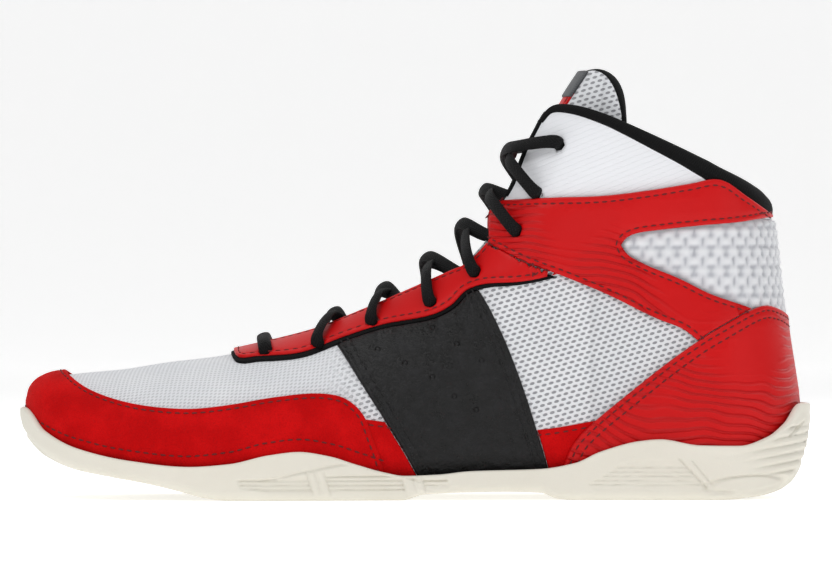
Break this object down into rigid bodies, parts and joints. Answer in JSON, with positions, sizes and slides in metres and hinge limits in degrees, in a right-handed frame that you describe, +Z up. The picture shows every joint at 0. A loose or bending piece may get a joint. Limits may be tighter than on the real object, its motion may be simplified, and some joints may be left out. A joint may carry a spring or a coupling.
{
  "type": "boxing boot",
  "caption": "Mid-height lace-up boxing boot for the right foot: white mesh, red overlays, black laces and trim, thin cream rubber sole.",
  "frame": {"origin": "centre of the bounding box in X and Y, at the bottom of the tread pads", "axes": "+X towards the heel along the boot's length, +Y to the lateral side, +Z up the shaft"},
  "size_m": [0.292, 0.1066, 0.1587],
  "materials": {
    "rubber_cream": "moulded, matt",
    "foam_white": "foam",
    "board": "pressed fibre",
    "sockliner_black": "knit over foam",
    "mesh_white": "open mesh",
    "mesh_puffy": "padded mesh of small cells",
    "ripstop_white": "smooth woven cloth",
    "suede_red": "synthetic suede",
    "leather_red": "smooth synthetic leather",
    "leather_black": "creased, semi-gloss synthetic leather",
    "tape_black": "knitted tape",
    "lining_grey": "lining cloth",
    "lining_black": "lining cloth",
    "foam": "open-cell foam",
    "counter": "moulded thermoplastic",
    "lace_black": "flat braided polyester",
    "aglet_black": "film tip",
    "label_grey": "woven label"
  },
  "bodies": {
    "root": {"outsole": "rubber_cream", "midsole_foam": "foam_white", "lasting_board": "board", "sockliner": "sockliner_black", "forefoot_knit": "mesh_white", "heel_knit": "mesh_puffy", "collar_panel_medial": "ripstop_white", "collar_panel_lateral": "ripstop_white", "toe_guard": "suede_red", "eyestay": "leather_red", "eyestay_backing": "tape_black", "heel_cap": "leather_red", "ankle_strap_medial": "leather_red", "ankle_strap_lateral": "leather_red", "saddle_medial": "leather_black", "saddle_lateral": "leather_black", "foxing_front_medial": "leather_red", "foxing_front_lateral": "leather_red", "foxing_rear_medial": "leather_red", "foxing_rear_lateral": "leather_red", "heel_counter": "counter", "ankle_padding": "foam", "collar_lining": "lining_black", "quarter_lining": "lining_grey", "collar_binding": "tape_black", "lace": "lace_black", "lace_tail_medial": "lace_black", "lace_tail_lateral": "lace_black", "aglet_medial": "aglet_black", "aglet_lateral": "aglet_black"},
    "tongue": {"tongue_face": "mesh_white", "tongue_foam": "foam", "tongue_lining": "lining_black", "tongue_binding": "tape_black", "tongue_strip": "leather_red", "tongue_label": "label_grey"}
  },
  "joints": [
    {"name": "tongue_swing", "type": "hinge", "parent": "root", "child": "tongue", "pos_m": [-0.053, 0, 0.046], "axis": [0, 1, 0], "range_deg": [0, 7]}
  ]
}
